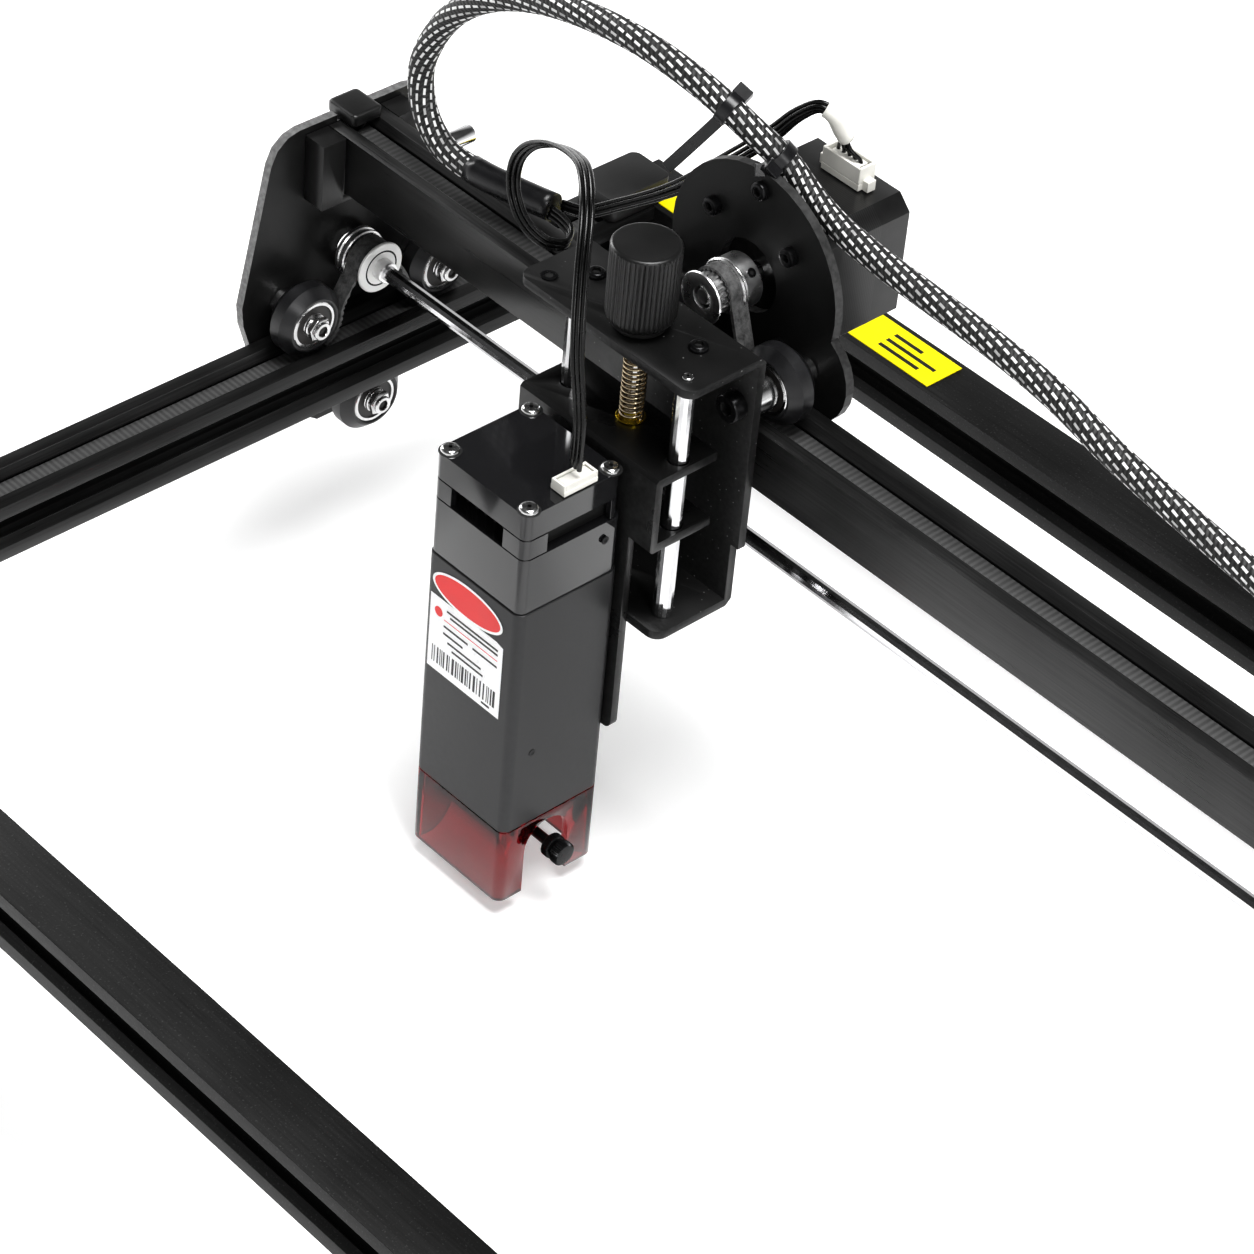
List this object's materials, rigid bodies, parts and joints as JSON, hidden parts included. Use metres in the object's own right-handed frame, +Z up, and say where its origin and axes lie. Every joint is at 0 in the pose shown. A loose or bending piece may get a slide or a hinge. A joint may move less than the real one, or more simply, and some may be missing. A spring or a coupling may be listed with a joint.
{
  "type": "desktop laser engraver",
  "caption": "Open-frame gantry laser engraver on slotted black rails, with a tall laser module on a hand-set height slide, belt drives and a braided cable loop.",
  "frame": {"origin": "middle of the machine's footprint, on the table the legs stand on", "axes": "+X along the beam to the machine's right, +Y to the rear, +Z up"},
  "size_m": [0.574, 0.377, 0.2408],
  "materials": {
    "black_anodised_profile": "black anodised, satin",
    "black_plastic": "moulded, matt",
    "wheel_tyre": "hard polyurethane, satin",
    "belt_rubber": "ribbed neoprene, matt",
    "black_plate": "black anodised sheet, machined rims",
    "motor_case": "black enamel",
    "white_nylon": "moulded nylon",
    "bright_steel": "ground and polished",
    "pulley_metal": "turned, bright",
    "gloss_cap": "glossy black",
    "module_case": "satin dark grey",
    "knob_plastic": "moulded, knurled",
    "red_acrylic": "clear red acrylic",
    "braided_sleeve": "black braid with white flecks",
    "lead_rubber": "black PVC lead"
  },
  "bodies": {
    "root": {"belt_anchor_rear_left": "black_plastic", "belt_anchor_rear_right": "black_plastic", "front_rail": "black_anodised_profile", "leg_front_left": "black_plastic", "leg_front_right": "black_plastic", "leg_rear_left": "black_plastic", "leg_rear_right": "black_plastic", "rear_rail": "black_anodised_profile", "side_rail_left": "black_anodised_profile", "side_rail_right": "black_anodised_profile", "y_belt_left": "belt_rubber", "y_belt_right": "belt_rubber"},
    "gantry": {"beam_cradle_left": "black_plastic", "beam_cradle_right": "black_plastic", "belt_clamp_left": "black_plate", "belt_clamp_right": "black_plate", "control_box": "black_plastic", "gantry_plate_left": "black_plate", "gantry_plate_right": "black_plate", "sleeve_span": "braided_sleeve", "stop_pin": "bright_steel", "x_beam": "black_anodised_profile", "x_belt": "belt_rubber", "y_belt_loop_left": "belt_rubber", "y_belt_loop_right": "belt_rubber", "y_motor": "motor_case", "y_motor_bracket": "black_plate"},
    "carriage": {"motor_plate": "black_plate", "x_motor": "motor_case", "x_motor_socket": "white_nylon", "x_belt_loop": "belt_rubber", "z_bracket": "black_plate", "guide_rod_left": "bright_steel", "guide_rod_right": "bright_steel", "slide_spring": "bright_steel", "sleeve_loop": "braided_sleeve", "laser_lead": "lead_rubber", "motor_lead": "lead_rubber"},
    "laser_head": {"slide_block": "black_plate", "module_cap": "gloss_cap", "module_body": "module_case", "module_socket": "white_nylon", "lens_barrel": "bright_steel", "eye_shield": "red_acrylic"},
    "y_wheel_left_front_body": {"y_wheel_left_front": "wheel_tyre"},
    "y_wheel_left_rear_body": {"y_wheel_left_rear": "wheel_tyre"},
    "y_wheel_left_lower_body": {"y_wheel_left_lower": "wheel_tyre"},
    "y_wheel_right_front_body": {"y_wheel_right_front": "wheel_tyre"},
    "y_wheel_right_rear_body": {"y_wheel_right_rear": "wheel_tyre"},
    "y_wheel_right_lower_body": {"y_wheel_right_lower": "wheel_tyre"},
    "sync_line": {"sync_shaft": "bright_steel", "sync_pulley_left": "pulley_metal", "sync_pulley_right": "pulley_metal"},
    "x_wheel_left_body": {"x_wheel_left": "wheel_tyre"},
    "x_wheel_right_body": {"x_wheel_right": "wheel_tyre"},
    "x_wheel_lower_body": {"x_wheel_lower": "wheel_tyre"},
    "drive_pulley": {"x_pulley": "pulley_metal"},
    "height_knob_body": {"height_knob": "knob_plastic", "height_screw": "bright_steel"},
    "focus_screw_body": {"focus_screw": "knob_plastic"}
  },
  "joints": [
    {"name": "y_slide", "type": "slide", "parent": "root", "child": "gantry", "axis": [0, 1, 0], "range_m": [-0.138, 0.05]},
    {"name": "x_slide", "type": "slide", "parent": "gantry", "child": "carriage", "axis": [1, 0, 0], "range_m": [-0.1, 0.27], "deforming": ["sleeve_span"]},
    {"name": "z_slide", "type": "slide", "parent": "carriage", "child": "laser_head", "axis": [0, 0, 1], "range_m": [-0.005, 0.015], "deforming": ["slide_spring", "laser_lead"]},
    {"name": "y_wheel_left_front_turn", "type": "hinge", "parent": "gantry", "child": "y_wheel_left_front_body", "pos_m": [-0.27, 0.03, 0.0965], "axis": [1, 0, 0], "range_deg": [-288, 792]},
    {"name": "y_wheel_left_rear_turn", "type": "hinge", "parent": "gantry", "child": "y_wheel_left_rear_body", "pos_m": [-0.27, 0.082, 0.0965], "axis": [1, 0, 0], "range_deg": [-288, 792]},
    {"name": "y_wheel_left_lower_turn", "type": "hinge", "parent": "gantry", "child": "y_wheel_left_lower_body", "pos_m": [-0.27, 0.056, 0.0565], "axis": [1, 0, 0], "range_deg": [-792, 288]},
    {"name": "y_wheel_right_front_turn", "type": "hinge", "parent": "gantry", "child": "y_wheel_right_front_body", "pos_m": [0.27, 0.03, 0.0965], "axis": [1, 0, 0], "range_deg": [-288, 792]},
    {"name": "y_wheel_right_rear_turn", "type": "hinge", "parent": "gantry", "child": "y_wheel_right_rear_body", "pos_m": [0.27, 0.082, 0.0965], "axis": [1, 0, 0], "range_deg": [-288, 792]},
    {"name": "y_wheel_right_lower_turn", "type": "hinge", "parent": "gantry", "child": "y_wheel_right_lower_body", "pos_m": [0.27, 0.056, 0.0565], "axis": [1, 0, 0], "range_deg": [-792, 288]},
    {"name": "sync_turn", "type": "hinge", "parent": "gantry", "child": "sync_line", "pos_m": [0, 0.056, 0.107], "axis": [1, 0, 0], "range_deg": [-1243, 452]},
    {"name": "x_wheel_left_turn", "type": "hinge", "parent": "carriage", "child": "x_wheel_left_body", "pos_m": [-0.148, 0.056, 0.165], "axis": [0, 1, 0], "range_deg": [-574, 1548]},
    {"name": "x_wheel_right_turn", "type": "hinge", "parent": "carriage", "child": "x_wheel_right_body", "pos_m": [-0.096, 0.056, 0.165], "axis": [0, 1, 0], "range_deg": [-574, 1548]},
    {"name": "x_wheel_lower_turn", "type": "hinge", "parent": "carriage", "child": "x_wheel_lower_body", "pos_m": [-0.122, 0.056, 0.125], "axis": [0, 1, 0], "range_deg": [-1548, 574]},
    {"name": "drive_pulley_turn", "type": "hinge", "parent": "carriage", "child": "drive_pulley", "pos_m": [-0.122, 0.056, 0.1824], "axis": [0, 1, 0], "range_deg": [-2432, 902]},
    {"name": "height_knob_turn", "type": "hinge", "parent": "carriage", "child": "height_knob_body", "pos_m": [-0.1215, 0.0245, 0.195], "axis": [0, 0, 1], "range_deg": [-226, 676]},
    {"name": "focus_screw_turn", "type": "hinge", "parent": "laser_head", "child": "focus_screw_body", "pos_m": [-0.102, -0.01, 0.0215], "axis": [1, 0, 0], "range_deg": [-360, 360]}
  ],
  "couplings": [
    {"joint": "y_wheel_left_front_turn", "follows": "y_slide", "rad_per_m": -100},
    {"joint": "y_wheel_left_rear_turn", "follows": "y_slide", "rad_per_m": -100},
    {"joint": "y_wheel_left_lower_turn", "follows": "y_slide", "rad_per_m": 100},
    {"joint": "y_wheel_right_front_turn", "follows": "y_slide", "rad_per_m": -100},
    {"joint": "y_wheel_right_rear_turn", "follows": "y_slide", "rad_per_m": -100},
    {"joint": "y_wheel_right_lower_turn", "follows": "y_slide", "rad_per_m": 100},
    {"joint": "sync_turn", "follows": "y_slide", "rad_per_m": 157.08},
    {"joint": "x_wheel_left_turn", "follows": "x_slide", "rad_per_m": 100},
    {"joint": "x_wheel_right_turn", "follows": "x_slide", "rad_per_m": 100},
    {"joint": "x_wheel_lower_turn", "follows": "x_slide", "rad_per_m": -100},
    {"joint": "drive_pulley_turn", "follows": "x_slide", "rad_per_m": -157.08},
    {"joint": "height_knob_turn", "follows": "z_slide", "rad_per_m": 785.4}
  ]
}
